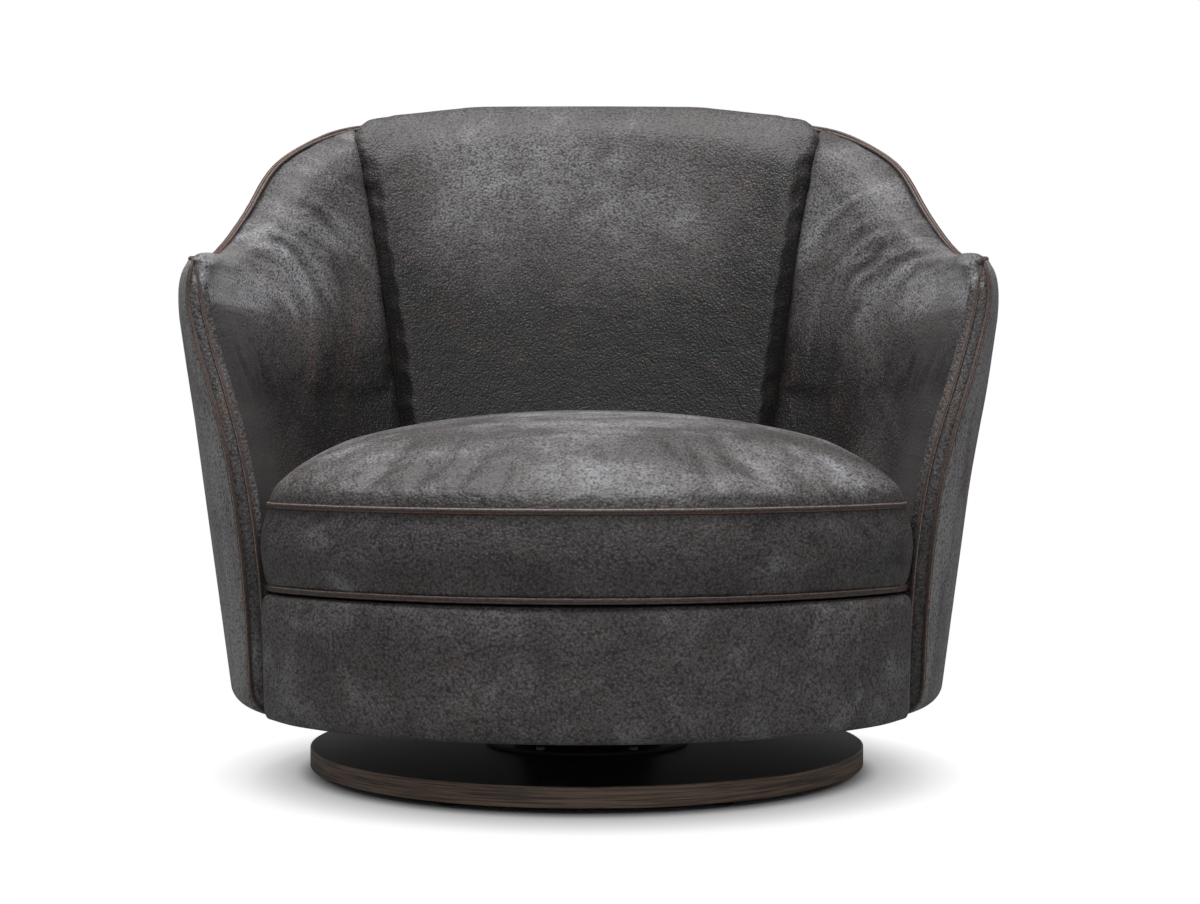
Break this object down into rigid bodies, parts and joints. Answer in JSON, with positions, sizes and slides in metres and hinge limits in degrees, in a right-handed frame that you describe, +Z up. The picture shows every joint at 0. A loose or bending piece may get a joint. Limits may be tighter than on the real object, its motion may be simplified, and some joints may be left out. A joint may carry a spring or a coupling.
{
  "type": "swivel barrel chair",
  "caption": "Leather barrel chair with a wrap-around back, sloping arms and a loose domed seat cushion, turning on a ball-bearing swivel over a round wooden plinth.",
  "frame": {"origin": "on the floor, under the swivel axis, at the middle of the round plinth", "axes": "+Z up along the swivel axis, -Y the way the chair faces, +X towards the sitter's left arm"},
  "size_m": [0.8762, 0.8084, 0.766],
  "materials": {
    "plinth_wood": "satin",
    "plinth_edge": "satin",
    "glide_nylon": "matte",
    "black_steel": "satin",
    "zinc_steel": "satin",
    "cage_nylon": "satin",
    "frame_wood": "matte",
    "webbing": "matte",
    "dust_cloth": "matte",
    "deck_cloth": "matte",
    "leather": "satin",
    "leather_trim": "satin",
    "leather_pad": "satin"
  },
  "bodies": {
    "base": {"plinth_disc": "plinth_wood", "plinth_edge_band": "plinth_edge", "glides": "glide_nylon", "swivel_lower_plate": "black_steel", "plate_screws": "zinc_steel", "lower_race": "zinc_steel", "kingpin": "zinc_steel", "kingpin_washer": "zinc_steel", "kingpin_nut": "zinc_steel"},
    "ball_race": {"ball_cage": "cage_nylon", "bearing_balls": "zinc_steel"},
    "seat_body": {"upper_race": "zinc_steel", "swivel_upper_plate": "black_steel", "pivot_bush": "cage_nylon", "plate_bolts": "zinc_steel", "tee_nuts": "zinc_steel", "bottom_board": "frame_wood", "front_rail": "frame_wood", "side_rails": "frame_wood", "back_rail": "frame_wood", "corner_blocks": "frame_wood", "webbing_long": "webbing", "webbing_cross": "webbing", "front_posts": "frame_wood", "side_posts": "frame_wood", "back_posts": "frame_wood", "top_rail": "frame_wood", "outer_arm_left": "leather", "outer_arm_right": "leather", "outer_back": "leather", "outer_welt": "leather_trim", "inner_welt": "leather_trim", "edge_strip": "leather_trim", "arm_pad_left": "leather_pad", "arm_pad_right": "leather_pad", "back_pillow": "leather_pad", "front_panel": "leather_pad", "seat_deck": "deck_cloth", "dust_cover": "dust_cloth"},
    "loose_cushion": {"seat_cushion": "leather_pad", "cushion_top_welt": "leather_trim", "cushion_bottom_welt": "leather_trim"}
  },
  "joints": [
    {"name": "seat_swivel", "type": "hinge", "parent": "base", "child": "seat_body", "pos_m": [0, 0, 0.059], "axis": [0, 0, 1], "continuous": true},
    {"name": "cage_spin", "type": "hinge", "parent": "base", "child": "ball_race", "pos_m": [0, 0, 0.059], "axis": [0, 0, 1], "continuous": true},
    {"name": "cushion_lift", "type": "slide", "parent": "seat_body", "child": "loose_cushion", "axis": [0, 0, 1], "range_m": [0, 0.56]}
  ],
  "couplings": [
    {"joint": "cage_spin", "follows": "seat_swivel", "ratio": 0.5}
  ]
}
